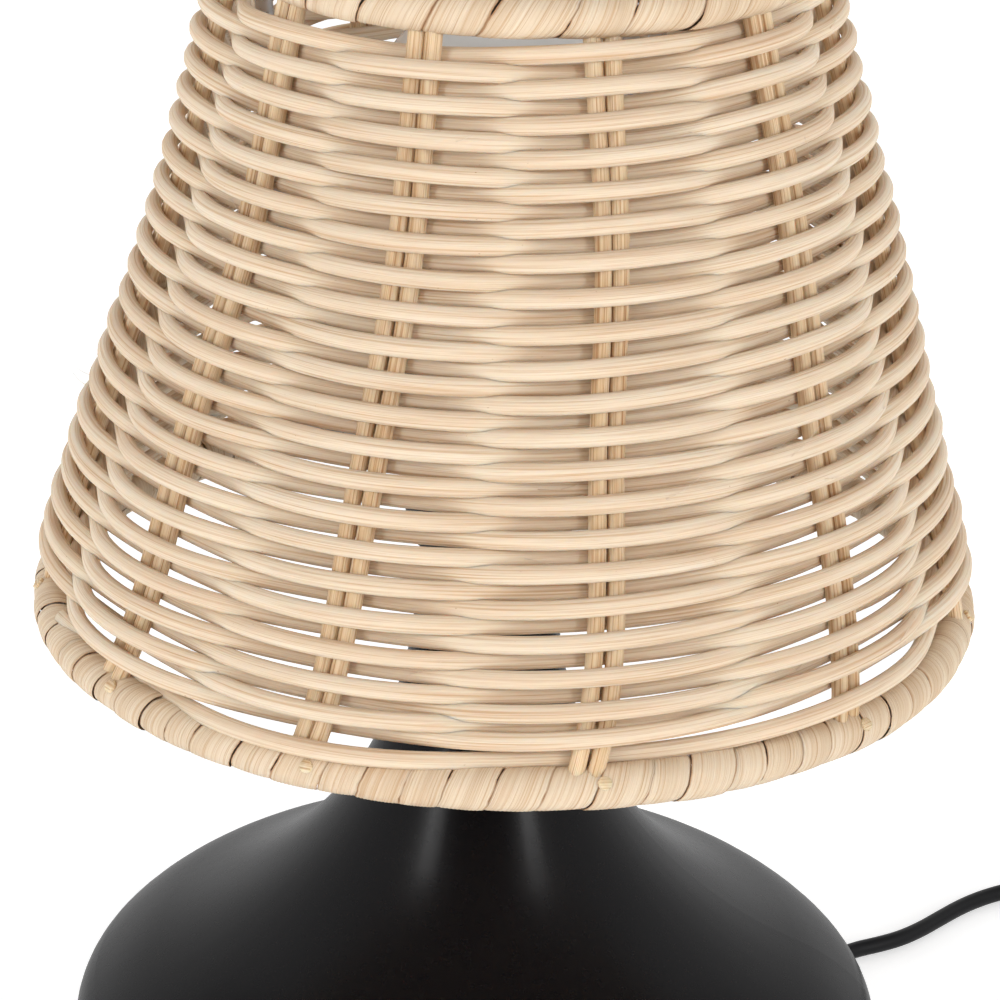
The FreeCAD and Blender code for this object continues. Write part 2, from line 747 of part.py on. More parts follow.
def cord_runs():
    """The cord where it isn't coiled: from the gland over the surface to the switch, and on."""
    radius = worth("cord_radius")
    out = worth("gland_turn")
    lying = radius + 0.1
    reach, level = worth("gland_reach"), worth("cord_height")
    free = [
        polar(reach, out, level),
        polar(reach + 5.5, out, level),
        Vector(86.8, 80.8, 4.9),
        Vector(92.4, 85.7, 3.1),
        Vector(98.0, 90.6, lying),
        Vector(103.6, 94.8, lying),
        Vector(109.8, 97.7, lying),
        Vector(116.2, 101.4, lying),
        Vector(122.3, 106.7, lying),
        Vector(128.7, 113.7, lying),
        Vector(135.2, 120.6, lying),
        Vector(141.7, 125.9, lying),
        Vector(147.6, 129.5, lying),
        Vector(154.3, 132.3, lying + 0.3),
        Vector(161.6, 133.8, lying + 1.9),
        Vector(169.2, worth("switch_y"), 6),
        Vector(worth("switch_x"), worth("switch_y"), 6),
    ]
    keep(feature("free_tube", tube("cord_free", free, radius)), "cord_free")
    start = worth("switch_x + switch_length")
    row = worth("switch_y")
    middle = worth("coil_x")
    link = [
        Vector(start, row, 6),
        Vector(start + 7, row, 6),
        Vector(start + 15, row + 0.1, lying + 1.5),
        Vector(middle - 9, row - 0.2, lying),
        Vector(middle - 2, row - 0.4, lying),
    ]
    keep(feature("link_tube", tube("cord_link", link, radius)), "cord_link")
    right = middle + worth("coil_radius") + radius
    above = lying + 2 * radius * (worth("coil_layers") - 1)
    centre_y = row - worth("coil_radius") - radius
    end = worth("plug_height") / 2
    tail = [
        Vector(right - 0.4, centre_y + 1, above),
        Vector(right, centre_y - 7, above - 0.6),
        Vector(right + 0.1, centre_y - 16, above - 2.8),
        Vector(right, centre_y - 25, end + 1.4),
        Vector(right, worth("plug_y") + 9, end),
        Vector(right, worth("plug_y"), end),
    ]
    keep(feature("tail_tube", tube("cord_tail", tail, radius)), "cord_tail")


def coil():
    """The outer shape of the coil that holds the rest of the cord."""
    top = "(2 * cord_radius * coil_layers + 0.1)"
    corners = [
        (f"{COIL_INNER} + cord_radius", "0.1"),
        (f"{COIL_OUTER} - cord_radius", "0.1", "cord_radius", 1),
        (COIL_OUTER, "cord_radius + 0.1"),
        (COIL_OUTER, f"{top} - cord_radius", "cord_radius", 1),
        (f"{COIL_OUTER} - cord_radius", top),
        (f"{COIL_INNER} + cord_radius", top, "cord_radius", 1),
        (COIL_INNER, f"{top} - cord_radius"),
        (COIL_INNER, "cord_radius + 0.1", "cord_radius", 1),
    ]
    body = turned("coiled", corners)
    keep(place(body, "coil_x", "switch_y - coil_radius - cord_radius"), "cord_coil")


def rounded(name, base, radius, level=None):
    """Rounds the upright edges of a box, and those of its face at a height if one is given."""
    doc.recompute()
    chosen = []
    for number, edge in enumerate(base.Shape.Edges, start=1):
        ends = [v.Z for v in edge.Vertexes]
        flat = level is not None and all(abs(z - level) < 1e-6 for z in ends)
        if flat or abs(ends[0] - ends[1]) > 1e-6:
            chosen.append((number, radius, radius))
    fillet = doc.addObject("Part::Fillet", name)
    fillet.Base = base
    fillet.Edges = chosen
    return fillet


SWITCH_FRONT = "(switch_y - switch_width / 2)"
SWITCH_MIDDLE = "(switch_x + switch_length / 2)"
SWITCH_SCREWS = ("(switch_x + switch_screw_inset)", "(switch_x + switch_length - switch_screw_inset)")


def switch():
    """An in-line rocker switch: two half housings and two screws from below."""
    upper_height = "switch_height - switch_split"
    whole = ("switch_length", "switch_width")
    corner = worth("switch_corner")
    low = rounded("low_rounded", box("low_block", "switch_x", SWITCH_FRONT, "0", *whole, "switch_split"), corner)
    block = box("high_block", "switch_x", SWITCH_FRONT, "switch_split", *whole, upper_height)
    high = rounded("high_rounded", block, corner, worth("switch_height"))
    window = box(
        "window",
        f"{SWITCH_MIDDLE} - rocker_radius - seat_gap",
        "switch_y - rocker_width / 2 - seat_gap",
        "switch_split",
        "2 * (rocker_radius + seat_gap)",
        "rocker_width + 2 * seat_gap",
        "switch_height",
    )
    low_hollow = hollow("low_hollow", "switch_wall", "switch_split")
    high_hollow = hollow("high_hollow", "switch_split - 1", f"{upper_height} - switch_wall + 1")
    heads = [screw_hole("head_hole", x, "switch_screw_head", "switch_wall") for x in SWITCH_SCREWS]
    bite = "switch_split + switch_screw_bite + seat_gap"
    keep(less("low_half", low, low_hollow, *heads, *shank_holes(bite)), "switch_base")
    opened = less("high_open", high, high_hollow, window)
    keep(less("high_half", joined("high_with_lugs", opened, *lugs()), pin("pin_hole", "fit_gap"), *shank_holes(bite)),
         "switch_cover")
    keep(together("switch_fixings", *(switch_screw(x) for x in SWITCH_SCREWS)), "switch_screws")


def hollow(name, low, height):
    """The space inside one half of the switch, between its solid ends."""
    return box(
        name,
        "switch_x + switch_end",
        f"{SWITCH_FRONT} + switch_wall",
        low,
        "switch_length - 2 * switch_end",
        "switch_width - 2 * switch_wall",
        height,
    )


def lugs():
    """Two lugs under the roof of the switch, beside the rocker, that carry its pin."""
    low = "(rocker_pivot - lug_drop)"
    front = "switch_y - rocker_width / 2 - seat_gap - lug_thick"
    back = "switch_y + rocker_width / 2 + seat_gap"
    return [
        box("lug", f"{SWITCH_MIDDLE} - lug_length / 2", y, low, "lug_length", "lug_thick", f"switch_height - 1 - {low}")
        for y in (front, back)
    ]


def pin(name, gap):
    """The rocker's pin, or with a gap the hole that it turns in, along Y."""
    half = f"(rocker_width / 2 + pivot_reach + {gap})"
    piece = primitive("Cylinder", name, Radius=f"pivot_radius + {gap} / 2", Height=f"2 * {half}")
    piece.Placement = Placement(Vector(0, 0, 0), Rotation(Vector(1, 0, 0), -90))
    return place(piece, SWITCH_MIDDLE, f"switch_y - {half}", "rocker_pivot")


def screw_hole(name, x, radius, height):
    return place(primitive("Cylinder", name, Radius=f"{radius} + fit_gap", Height=height), x, "switch_y")


def shank_holes(height):
    return [screw_hole("shank_hole", x, "switch_screw_radius", height) for x in SWITCH_SCREWS]


def switch_screw(x):
    """A cheese-head screw, its head sunk in the bottom of the switch."""
    corners = [
        ("0", "seat_gap"),
        ("switch_screw_head", "seat_gap"),
        ("switch_screw_head", "switch_wall"),
        ("switch_screw_radius", "switch_wall"),
        ("switch_screw_radius", "switch_split + switch_screw_bite"),
        ("0", "switch_split + switch_screw_bite"),
    ]
    return place(turned("switch_screw", corners), x, "switch_y")


def rocker():
    """The rocker, tipped to off. Its ends are round about its pin, so their gap stays as it tips."""
    drum = primitive("Cylinder", "rocker_drum", Radius="rocker_radius", Height="rocker_width")
    drum.Placement = Placement(Vector(0, 0, 0), Rotation(Vector(1, 0, 0), -90))
    place(drum, SWITCH_MIDDLE, "switch_y - rocker_width / 2", "rocker_pivot")
    slab = box(
        "rocker_slab",
        f"{SWITCH_MIDDLE} - rocker_radius",
        "switch_y - rocker_width / 2",
        "rocker_pivot - rocker_drop",
        "2 * rocker_radius",
        "rocker_width",
        "rocker_drop + rocker_rise",
    )
    key = doc.addObject("Part::Common", "rocker_key")
    key.Base = drum
    key.Tool = slab
    whole = joined("rocker", key, pin("rocker_pin", "0"))
    centre = Vector(worth(SWITCH_MIDDLE), worth("switch_y"), worth("rocker_pivot"))
    whole.Placement = Placement(Vector(0, 0, 0), Rotation(Vector(0, 1, 0), worth("rocker_tilt")), centre)
    keep(whole, "switch_rocker")


def plug():
    """A flat two-pin plug that lies on the surface, its pins towards -Y."""
    body = doc.addObject("PartDesign::Body", "plug_block")
    sketch = new_sketch(body, "XY_Plane", "plug_outline")
    tail = "(plug_width - plug_tail_width) / 2"
    outline(
        sketch,
        [
            ("0", "0"),
            ("plug_width", "0"),
            ("plug_width", "plug_nose"),
            (f"plug_width - {tail}", "plug_length"),
            (tail, "plug_length"),
            ("0", "plug_nose"),
        ],
    )
    pad = body.newObject("PartDesign::Pad", "plug_pad")
    pad.Profile = sketch
    pad.setExpression("Length", bound("plug_height"))
    doc.recompute()
    soft = [
        f"Edge{n}"
        for n, edge in enumerate(pad.Shape.Edges, start=1)
        if any(v.Y > 1e-6 for v in edge.Vertexes)
    ]
    fillet = body.newObject("PartDesign::Fillet", "plug_rounded")
    fillet.Base = (pad, soft)
    fillet.setExpression("Radius", bound("plug_corner"))
    body.Tip = fillet
    centre = "(coil_x + coil_radius + cord_radius)"
    keep(place(body, f"{centre} - plug_width / 2", "plug_y - plug_length"), "plug_body")
    pins = []
    for side in ("-", "+"):
        pin_body = turned(
            "plug_pin",
            [
                ("0", "0"),
                ("pin_radius", "0"),
                ("pin_radius", "pin_length - pin_radius / 2"),
                ("pin_radius / 2", "pin_length"),
                ("0", "pin_length"),
            ],
        )
        pin_body.Placement = Placement(Vector(0, 0, 0), Rotation(Vector(1, 0, 0), 90))
        pins.append(place(pin_body, f"{centre} {side} pin_spacing / 2", "plug_y - plug_length", "plug_height / 2"))
    keep(together("plug_contacts", *pins), "plug_pins")


# ---------------------------------------------------------------- making and writing


def check_document():
    """Stops if any object failed, or if a node's shape is missing or broken."""
    doc.recompute()
    failed = [o.Name for o in doc.Objects if {"Invalid", "Error"} & set(o.State)]
    broken = [n.Label for n in nodes if n.Shape.isNull() or not n.Shape.isValid()]
    if failed or broken:
        raise ValueError(f"failed objects {failed}, broken nodes {broken}")


def write_nodes():
    os.makedirs("parts", exist_ok=True)
    for node in nodes:
        node.Shape.exportStep(f"parts/{node.Label}.step")
        print(f"{node.Label}: {len(node.Shape.Solids)} solid(s), {node.Shape.Volume:.0f} mm3")


fill_sheet()
base_shell()
base_inside()
cord_entry()
holder()
bulb()
cage()
fitter()
cord_runs()
switch()
rocker()
coil()
plug()
check_document()
write_nodes()
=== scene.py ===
"""The visual model of a table lamp with a woven cane shade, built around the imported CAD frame."""

import json
import math

import bpy
import numpy as np
from mathutils import Matrix, Vector

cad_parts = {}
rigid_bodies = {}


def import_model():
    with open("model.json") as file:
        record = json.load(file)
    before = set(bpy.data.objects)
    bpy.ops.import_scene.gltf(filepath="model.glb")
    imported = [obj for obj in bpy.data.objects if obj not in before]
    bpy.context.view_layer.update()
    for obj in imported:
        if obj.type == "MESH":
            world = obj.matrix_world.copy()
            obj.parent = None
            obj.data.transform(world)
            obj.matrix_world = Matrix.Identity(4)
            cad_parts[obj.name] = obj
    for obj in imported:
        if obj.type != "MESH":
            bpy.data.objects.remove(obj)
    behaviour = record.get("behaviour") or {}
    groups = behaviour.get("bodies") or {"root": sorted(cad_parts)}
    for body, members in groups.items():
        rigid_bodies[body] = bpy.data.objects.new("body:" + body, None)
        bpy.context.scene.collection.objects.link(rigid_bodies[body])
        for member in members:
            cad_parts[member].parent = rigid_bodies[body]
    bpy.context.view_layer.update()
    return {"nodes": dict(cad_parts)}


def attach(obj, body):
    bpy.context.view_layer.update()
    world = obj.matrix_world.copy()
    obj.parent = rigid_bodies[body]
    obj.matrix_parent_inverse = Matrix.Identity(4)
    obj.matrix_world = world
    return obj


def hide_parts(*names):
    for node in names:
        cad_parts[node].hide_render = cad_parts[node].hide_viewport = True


MM = 0.001
TAU = 2 * math.pi
RANDOM = np.random.default_rng(11)

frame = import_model()
scene = bpy.context.scene

# ---------------------------------------------------------------- camera

VIEW_TARGET = Vector((0.0025, 0, 0.173))
VIEW_DISTANCE = 0.85
VIEW_DOWN = math.radians(22.83)
VIEW_ROLL = math.radians(1.55)


def add_camera():
    """The photograph's view: from the front, a little above, close up."""
    lens = bpy.data.cameras.new("camera")
    lens.lens = 131.7
    lens.sensor_width = 36
    lens.clip_start = 0.01
    camera = bpy.data.objects.new("camera", lens)
    back = Vector((0, -math.cos(VIEW_DOWN), math.sin(VIEW_DOWN))) * VIEW_DISTANCE
    turn = Matrix.Rotation(math.pi / 2 - VIEW_DOWN, 4, "X") @ Matrix.Rotation(VIEW_ROLL, 4, "Z")
    camera.matrix_world = Matrix.Translation(VIEW_TARGET + back) @ turn
    scene.collection.objects.link(camera)
    scene.camera = camera


add_camera()

# ---------------------------------------------------------------- materials

WHITE = (1, 1, 1)

def add_node(tree, kind, settings=None, **inputs):
    """A shader node: its settings, and each input's value or the socket that feeds it."""
    made = tree.nodes.new("ShaderNode" + kind)
    for name, value in (settings or {}).items():
        setattr(made, name, value)
    for name, value in inputs.items():
        socket = made.inputs[name.replace("_", " ")]
        if isinstance(value, bpy.types.NodeSocket):
            tree.links.new(value, socket)
        else:
            socket.default_value = value
    return made


def new_material(name, **values):
    """A Principled material with fixed values, and its node tree and shader."""
    material = bpy.data.materials.new(name)
    material.use_nodes = True
    tree = material.node_tree
    shader = tree.nodes["Principled BSDF"]
    for key, value in values.items():
        shader.inputs[key.replace("_", " ")].default_value = value
    return material, tree, shader


def ramp(tree, factor, stops):
    """A colour ramp from (position, colour) stops; a colour may be one grey number."""
    made = add_node(tree, "ValToRGB", Fac=factor)
    band = made.color_ramp
    while len(band.elements) < len(stops):
        band.elements.new(0.5)
    for element, (position, colour) in zip(band.elements, stops):
        element.position = position
        grey = isinstance(colour, (int, float))
        element.color = (colour, colour, colour, 1) if grey else (*colour, 1)
    return made.outputs["Color"]


def stretched_noise(tree, source, scale, detail=2.0, rough=0.5):
    """Noise on coordinates that are scaled apart along and across a strand."""
    mapped = add_node(tree, "Mapping", Vector=source, Scale=scale).outputs["Vector"]
    noise = add_node(tree, "TexNoise", Vector=mapped, Scale=1.0, Detail=detail, Roughness=rough)
    return noise.outputs["Fac"]


def darken(tree, amount, colour, by):
    """A colour multiplied by another one, by a share of it."""
    made = add_node(tree, "MixRGB", {"blend_type": "MULTIPLY"}, Fac=amount, Color1=colour, Color2=by)
    return made.outputs["Color"]


def add_bump(tree, shader, height, distance, strength=1.0, before=None):
    """Feeds a height into the shader's normal, on top of another bump if one is given."""
    made = add_node(tree, "Bump", Height=height, Distance=distance, Strength=strength)
    if before is not None:
        tree.links.new(before, made.inputs["Normal"])
    tree.links.new(made.outputs["Normal"], shader.inputs["Normal"])
    return made.outputs["Normal"]


def cane_material(name, dark, middle, light, line, lines=0.6):
    """Peeled cane: UV runs in metres along and around the strand, and brown fibre lines run along it."""
    material, tree, shader = new_material(
        name, IOR=1.45, Specular_IOR_Level=0.2,
        Subsurface_Weight=0.6, Subsurface_Scale=0.0028, Subsurface_Radius=(1.0, 0.7, 0.45),
    )
    where = add_node(tree, "UVMap", {"uv_map": "strand"}).outputs["UV"]
    tone = stretched_noise(tree, where, (14, 300, 1), 2)
    colour = ramp(tree, tone, [(0.28, dark), (0.5, middle), (0.72, light)])
    broad = stretched_noise(tree, where, (16, 1700, 1), 2, 0.6)
    streaks = ramp(tree, broad, [(0.34, line), (0.5, WHITE)])
    colour = darken(tree, lines, colour, streaks)
    fine = stretched_noise(tree, where, (40, 4800, 1), 3, 0.65)
    hairs = ramp(tree, fine, [(0.36, line), (0.47, WHITE)])
    colour = darken(tree, 0.6 * lines + 0.1, colour, hairs)
    specks = stretched_noise(tree, where, (700, 1400, 1), 1)
    dots = ramp(tree, specks, [(0.17, (0.5, 0.32, 0.17)), (0.22, WHITE)])
    colour = darken(tree, 0.8, colour, dots)
    tree.links.new(colour, shader.inputs["Base Color"])
    rough = ramp(tree, broad, [(0.3, 0.68), (0.7, 0.5)])
    tree.links.new(rough, shader.inputs["Roughness"])
    first = add_bump(tree, shader, broad, 0.00022, 0.8)
    add_bump(tree, shader, fine, 0.00009, 0.8, first)
    return material


def peel_material():
    """Split peel: glossier and more ribbed than cane, with brown edges."""
    material, tree, shader = new_material(
        "rattan_peel", IOR=1.45, Specular_IOR_Level=0.25,
        Subsurface_Weight=0.35, Subsurface_Scale=0.002, Subsurface_Radius=(1.0, 0.7, 0.45),
    )
    where = add_node(tree, "UVMap", {"uv_map": "strand"}).outputs["UV"]
    tone = stretched_noise(tree, where, (9, 2.2, 1), 2)
    tones = [(0.3, (0.68, 0.52, 0.36)), (0.5, (0.75, 0.61, 0.45)), (0.7, (0.80, 0.68, 0.53))]
    colour = ramp(tree, tone, tones)
    broad = stretched_noise(tree, where, (9, 17, 1), 2, 0.6)
    streaks = ramp(tree, broad, [(0.34, (0.72, 0.52, 0.33)), (0.5, WHITE)])
    colour = darken(tree, 0.5, colour, streaks)
    fine = stretched_noise(tree, where, (22, 60, 1), 3, 0.65)
    hairs = ramp(tree, fine, [(0.36, (0.62, 0.42, 0.25)), (0.48, WHITE)])
    colour = darken(tree, 0.55, colour, hairs)
    across = add_node(tree, "SeparateXYZ", Vector=where).outputs["Y"]
    brown = (0.55, 0.31, 0.15)
    edge = ramp(tree, across, [(0.0, brown), (0.045, WHITE), (0.965, WHITE), (1.0, brown)])
    colour = darken(tree, 0.85, colour, edge)
    tree.links.new(colour, shader.inputs["Base Color"])
    rough = ramp(tree, broad, [(0.3, 0.62), (0.7, 0.44)])
    tree.links.new(rough, shader.inputs["Roughness"])
    first = add_bump(tree, shader, broad, 0.00025, 0.8)
    add_bump(tree, shader, fine, 0.00012, 0.8, first)
    return material


def surface_material(name, colour, roughness, grain, depth, varied=0.12, **values):
    """A smooth moulded, painted or plated surface: a fine grain and slight changes of gloss."""
    material, tree, shader = new_material(name, Base_Color=(*colour, 1), **values)
    where = add_node(tree, "TexCoord").outputs["Object"]
    noise = stretched_noise(tree, where, (grain, grain, grain), 3)
    low, high = roughness * (1 - varied), roughness * (1 + varied)
    tree.links.new(ramp(tree, noise, [(0.3, low), (0.7, high)]), shader.inputs["Roughness"])
    add_bump(tree, shader, noise, depth, 0.6)
    return material


finishes = {
    "rattan": cane_material(
        "rattan", (0.71, 0.555, 0.405), (0.765, 0.635, 0.485), (0.80, 0.69, 0.55), (0.72, 0.54, 0.37)
    ),
    "rattan_stake": cane_material(
        "rattan_stake", (0.70, 0.51, 0.31), (0.79, 0.62, 0.42), (0.86, 0.71, 0.51), (0.58, 0.36, 0.19), 0.75
    ),
    "rattan_peel": peel_material(),
    "black_lacquer": surface_material(
        "black_lacquer", (0.0034, 0.0031, 0.0038), 0.27, 400, 0.000002, 0.03, Specular_IOR_Level=0.17
    ),
    "black_felt": surface_material("black_felt", (0.02, 0.02, 0.02), 0.95, 2500, 0.0004, 0.03),
    "steel": surface_material("steel", (0.62, 0.62, 0.64), 0.3, 1500, 0.00001, Metallic=1.0),
    "iron": surface_material("iron", (0.12, 0.12, 0.12), 0.6, 600, 0.0002, Metallic=1.0),
    "black_rubber": surface_material("black_rubber", (0.02, 0.02, 0.02), 0.6, 1500, 0.00003),
    "cord_jacket": surface_material(
        "cord_jacket", (0.01, 0.01, 0.011), 0.42, 1200, 0.00003, Specular_IOR_Level=0.2
    ),
    "wire_insulation": surface_material("wire_insulation", (0.16, 0.1, 0.07), 0.45, 900, 0.00001),
    "black_plastic": surface_material("black_plastic", (0.018, 0.018, 0.018), 0.45, 1800, 0.00002),
    "white_ceramic": surface_material("white_ceramic", (0.86, 0.85, 0.82), 0.5, 900, 0.00002),
    "brass": surface_material("brass", (0.78, 0.6, 0.28), 0.28, 900, 0.00001, Metallic=1.0),
    "black_gloss": surface_material("black_gloss", (0.014, 0.014, 0.015), 0.3, 1500, 0.00001),
    "nickel": surface_material("nickel", (0.75, 0.74, 0.71), 0.2, 900, 0.000005, Metallic=1.0),
    "opal_glass": surface_material("opal_glass", (0.93, 0.92, 0.90), 0.12, 300, 0.000002, Coat_Weight=0.5),
}


def dress(piece, slot):
    """Gives a new piece its material and its body."""
    piece.data.materials.clear()
    piece.data.materials.append(finishes[slot])
    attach(piece, "shade")


NODE_SLOTS = {
    "base_shell": "black_lacquer", "neck_collar": "black_lacquer", "felt_pad": "black_felt",
    "base_plate": "steel", "ballast": "iron", "threaded_rod": "steel", "bottom_washer": "steel",
    "bottom_nut": "steel", "cord_gland": "black_rubber", "cord_in_base": "cord_jacket",
    "lead_wires": "wire_insulation", "holder_cap": "black_plastic", "holder_core": "white_ceramic",
    "holder_sleeve": "black_plastic", "screw_shell": "brass", "centre_contact": "brass",
    "terminal_screws": "brass", "shade_ring": "black_plastic", "switch_base": "black_gloss",
    "switch_cover": "black_gloss", "switch_screws": "steel", "switch_rocker": "black_gloss",
    "plug_body": "black_gloss", "plug_pins": "nickel", "fitter_ring": "steel", "fitter_arms": "steel",
    "top_ring_wire": "steel", "bottom_ring_wire": "steel", "bulb_globe": "opal_glass",
    "bulb_cap": "nickel", "bulb_insulator": "black_gloss", "bulb_contact": "brass",
}
for node_name, slot_name in NODE_SLOTS.items():
    mesh = frame["nodes"][node_name].data
    mesh.materials.clear()
    mesh.materials.append(finishes[slot_name])

# ---------------------------------------------------------------- mesh building


def unit(vectors):
    return vectors / np.linalg.norm(vectors, axis=-1, keepdims=True)


def build_mesh(name, points, faces, uvs):
    """A smooth mesh from points in millimetres, quads or larger faces, and each corner's UV."""
    mesh = bpy.data.meshes.new(name)
    mesh.from_pydata((points * MM).tolist(), [], faces)
    layer = mesh.uv_layers.new(name="strand")
    layer.data.foreach_set("uv", np.asarray(uvs, dtype=np.float32).ravel())
    mesh.polygons.foreach_set("use_smooth", [True] * len(mesh.polygons))
    mesh.update()
    piece = bpy.data.objects.new(name, mesh)
    scene.collection.objects.link(piece)
    return piece


def sweep(line, out, tall, deep, sides=12):
    """Points, faces and UVs of a rod along a line. Out is the side that faces away from the shade's axis;
    tall is the half height and deep the half depth at each point."""
    along = unit(np.gradient(line, axis=0))
    side = unit(np.cross(along, out))
    out = np.cross(side, along)
    angles = math.pi + TAU * np.arange(sides) / sides
    across = np.cos(angles)[None, :, None] * out[:, None, :] * np.asarray(deep).reshape(-1, 1, 1)
    across = across + np.sin(angles)[None, :, None] * side[:, None, :] * np.asarray(tall).reshape(-1, 1, 1)
    points = (line[:, None, :] + across).reshape(-1, 3)
    count = len(line)
    lengths = np.concatenate([[0], np.cumsum(np.linalg.norm(np.diff(line, axis=0), axis=1))]) * MM
    around = np.arange(sides + 1) / sides * TAU * float(np.mean(tall)) * MM
    faces, uvs = [], []
    for i in range(count - 1):
        for j in range(sides):
            k = (j + 1) % sides
            faces.append((i * sides + j, i * sides + k, (i + 1) * sides + k, (i + 1) * sides + j))
            uvs += [
                (lengths[i], around[j]), (lengths[i], around[j + 1]),
                (lengths[i + 1], around[j + 1]), (lengths[i + 1], around[j]),
            ]
    for end, order in ((0, -1), (count - 1, 1)):
        faces.append([end * sides + j for j in range(sides)][::order])
        uvs += [(lengths[end] + 0.002 * math.cos(a), 0.002 * math.sin(a)) for a in angles]
    return points, faces, uvs


def gather(name, parts):
    """One piece from several rods."""
    points, faces, uvs, start = [], [], [], 0
    for number, (part_points, part_faces, part_uvs) in enumerate(parts):
        points.append(part_points)
        faces += [tuple(v + start for v in face) for face in part_faces]
        shift = 0.37 * number
        uvs += [(u + shift, v + 0.11 * number) for u, v in part_uvs]
        start += len(part_points)
    return build_mesh(name, np.concatenate(points), faces, uvs)


# ---------------------------------------------------------------- cord

CORD_RADIUS = 2.2
FLOOR_LINE = 2.3
COIL_CENTRE = (262, 104.8)
COIL_COLUMNS = (29.2, 24.8)
COIL_TURNS = ((0, 0), (1, 0), (1, 1), (0, 1), (0, 2), (1, 2), (1, 3), (0, 3), (0, 3))
TURN_POINTS = 16
GLAND_TURN = math.radians(43)


def gland_point(reach, height):
    return (reach * math.cos(GLAND_TURN), reach * math.sin(GLAND_TURN), height)


FREE_ROUTE = [
    gland_point(104, 6),
    gland_point(106, 6),
    gland_point(111.5, 6),
    (86.8, 80.8, 4.9),
    (92.4, 85.7, 3.1),
    (98.0, 90.6, FLOOR_LINE),
    (103.6, 94.8, FLOOR_LINE),
    (109.8, 97.7, FLOOR_LINE),
    (116.2, 101.4, FLOOR_LINE),
    (122.3, 106.7, FLOOR_LINE),
    (128.7, 113.7, FLOOR_LINE),
    (135.2, 120.6, FLOOR_LINE),
    (141.7, 125.9, FLOOR_LINE),
    (147.6, 129.5, FLOOR_LINE),
    (154.3, 132.3, 2.6),
    (161.6, 133.8, 4.2),
    (169.2, 134, 6),
    (177, 134, 6),
]
LINK_ROUTE = [(231, 134, 6), (238, 134, 6), (246, 134.1, 3.8), (253, 134.2, FLOOR_LINE)]
TAIL_ROUTE = [
    (291.0, 97.8, 14.9),
    (291.2, 88.8, 12.7),
    (291.2, 79.8, 8.25),
    (291.2, 71, 6.85),
    (291.2, 62, 6.85),
]


def coil_route():
    """The turns of the coil, clockwise, in two columns and four layers."""
    points = []
    for k in range(8 * TURN_POINTS + TURN_POINTS // 4 + 1):
        turn, step = divmod(k, TURN_POINTS)
        after = min(turn + 1, len(COIL_TURNS) - 1)
        share = max(0, (step - 12) / 4)
        column, layer = COIL_TURNS[turn]
        next_column, next_layer = COIL_TURNS[after]
        reach = COIL_COLUMNS[column] * (1 - share) + COIL_COLUMNS[next_column] * share
        reach = (reach + 0.16 * math.sin(2.1 * k)) / math.cos(math.pi / TURN_POINTS)
        height = FLOOR_LINE + 2 * CORD_RADIUS * (layer * (1 - share) + next_layer * share)
        angle = math.pi / 2 - TAU * k / TURN_POINTS
        points.append((
            COIL_CENTRE[0] + reach * math.cos(angle),
            COIL_CENTRE[1] + reach * math.sin(angle),
            height,
        ))
    return points


def spline_points(name, route):
    """Points along the smooth NURBS spline that a route's points control, in millimetres."""
    curve = bpy.data.curves.new(name, "CURVE")
    curve.dimensions = "3D"
    curve.resolution_u = 8
    spline = curve.splines.new("NURBS")
    spline.points.add(len(route) - 1)
    for point, (x, y, z) in zip(spline.points, route):
        point.co = (x * MM, y * MM, z * MM, 1)
    spline.order_u = 3
    spline.use_endpoint_u = True
    holder = bpy.data.objects.new(name, curve)
    line = bpy.data.meshes.new_from_object(holder)
    points = np.array([tuple(v.co) for v in line.vertices]) / MM
    for block, kind in ((holder, bpy.data.objects), (curve, bpy.data.curves), (line, bpy.data.meshes)):
        kind.remove(block)
    return points


def add_cord(name, route, nodes, **facts):
    """One length of round cord along its route, in place of its CAD nodes."""
    line = spline_points(name, route)
    up = np.tile((0.0, 0.0, 1.0), (len(line), 1))
    size = np.full(len(line), CORD_RADIUS)
    cord = gather(name, [sweep(line, up, size, size, 20)])
    cord.data.materials.append(finishes["cord_jacket"])
    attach(cord, "base")
    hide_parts(*nodes)


switch_nodes = ["switch_base", "switch_cover", "switch_screws", "switch_rocker"]
add_cord(
    "lamp_cord",
    FREE_ROUTE,
    ["cord_free"],
    exit=tuple(v * MM for v in FREE_ROUTE[1]),
    length=0.1217,
    far_end="fitting",
    stiffness="medium",
    lay="loose",
    with_pieces=[frame["nodes"][n] for n in switch_nodes],
)
add_cord(
    "plug_cord",
    LINK_ROUTE + coil_route() + TAIL_ROUTE,
    ["cord_link", "cord_coil", "cord_tail"],
    exit=tuple(v * MM for v in LINK_ROUTE[0]),
    length=1.4775,
    far_end="plug",
    stiffness="medium",
    lay="coiled",
    with_pieces=[frame["nodes"][n] for n in ("plug_body", "plug_pins")],
)

# ---------------------------------------------------------------- shade

CAGE_SHIFT = 4.0
CAGE_LOW, CAGE_HIGH = 152.0, 306.0
CAGE_WIDE, CAGE_NARROW = 104.8, 63.1
PAIRS = 11
PAIR_START = math.radians(-76)
STAKE_RADIUS = 1.9
STAKE_SPACING = 4.0
RIM_RADIUS = 5.2
OPEN_CHANCE = 0.12
OPEN_GAP, CLOSED_GAP = (0.15, 0.32), (-0.1, 0.04)
SLOPE = (CAGE_WIDE - CAGE_NARROW) / (CAGE_HIGH - CAGE_LOW)
LEAN = math.atan(SLOPE)

WALL_BEND_HEIGHT, WALL_BEND = 212, 25
WALL_LEAN, WALL_LEAN_HEIGHT, WALL_LEAN_SPAN = 1.9, 248, 40
BOTTOM_LEAN, BOTTOM_LEAN_HEIGHT, BOTTOM_LEAN_SPAN = 3.4, 157, 22
BOW, BOW_HEIGHT, BOW_SPAN = 1.1, 225, 35

